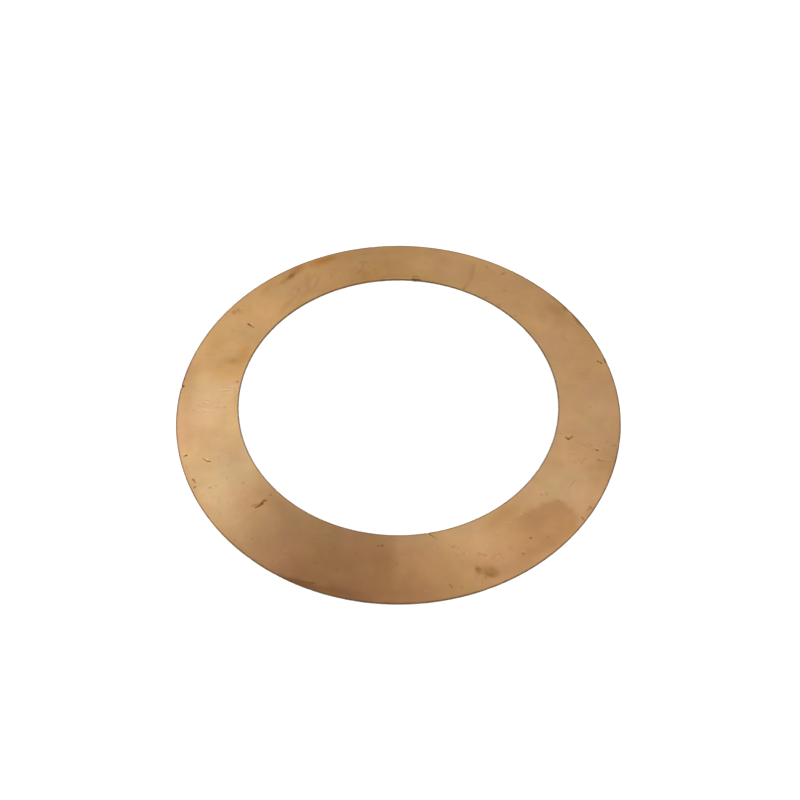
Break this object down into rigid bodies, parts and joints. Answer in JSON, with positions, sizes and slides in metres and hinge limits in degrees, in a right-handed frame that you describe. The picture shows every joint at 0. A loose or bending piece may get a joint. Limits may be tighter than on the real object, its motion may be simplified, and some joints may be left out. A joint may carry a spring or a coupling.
{
  "type": "thrust washer",
  "caption": "Thin flat bronze thrust washer, a plain ring with a large bore, that takes axial load between a shoulder and a rotating face.",
  "frame": {"origin": "centre of the ring on its lower face, which lies on the floor", "axes": "+Z is the ring's axis, pointing out of the upper thrust face; X and Y lie in the ring's plane"},
  "size_m": [0.11, 0.11, 0.0004],
  "materials": {
    "bronze": "rolled bronze strip, dull satin, lightly tarnished and handled, with small scratches and nicks"
  },
  "bodies": {
    "root": {"thrust_washer": "bronze"}
  },
  "joints": []
}
